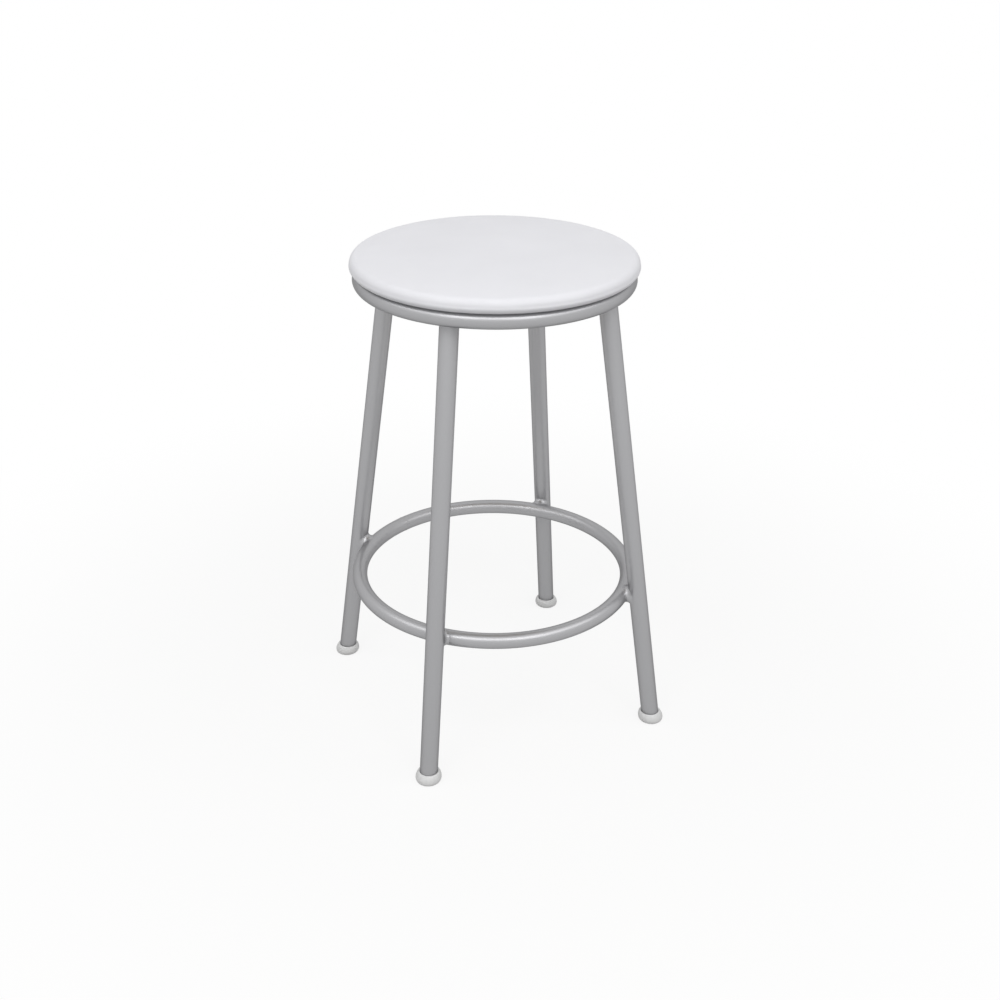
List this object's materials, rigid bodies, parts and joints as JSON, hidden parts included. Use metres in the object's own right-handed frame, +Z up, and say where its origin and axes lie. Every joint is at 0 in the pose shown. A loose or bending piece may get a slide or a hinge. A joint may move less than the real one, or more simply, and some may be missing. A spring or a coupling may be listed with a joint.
{
  "type": "round stool",
  "caption": "Backless round stool with a white padded seat on a splayed silver tube frame, a foot ring inside the legs and pale foot caps.",
  "frame": {"origin": "floor level, on the seat's axis", "axes": "+Z up the seat's axis, -Y the front, legs on the diagonals"},
  "size_m": [0.366, 0.366, 0.61],
  "materials": {
    "silver_paint": "satin silver paint on welded steel tube",
    "white_vinyl": "smooth matt white vinyl, fine grain",
    "seat_foam": "cut polyurethane foam",
    "plywood": "sawn plywood",
    "bare_steel": "zinc plated",
    "cap_plastic": "moulded pale grey plastic"
  },
  "bodies": {
    "root": {"cover_staples": "bare_steel", "foot_cap_back_left": "cap_plastic", "foot_cap_back_right": "cap_plastic", "foot_cap_front_left": "cap_plastic", "foot_cap_front_right": "cap_plastic", "foot_ring": "silver_paint", "foot_weld_back_left": "silver_paint", "foot_weld_back_right": "silver_paint", "foot_weld_front_left": "silver_paint", "foot_weld_front_right": "silver_paint", "leg_back_left": "silver_paint", "leg_back_right": "silver_paint", "leg_front_left": "silver_paint", "leg_front_right": "silver_paint", "seat_board": "plywood", "seat_cover": "white_vinyl", "seat_foam": "seat_foam", "seat_screws": "bare_steel", "seat_tab_back": "silver_paint", "seat_tab_front": "silver_paint", "seat_tab_left": "silver_paint", "seat_tab_right": "silver_paint", "tab_welds": "silver_paint", "top_ring": "silver_paint", "top_weld_back_left": "silver_paint", "top_weld_back_right": "silver_paint", "top_weld_front_left": "silver_paint", "top_weld_front_right": "silver_paint"}
  },
  "joints": []
}
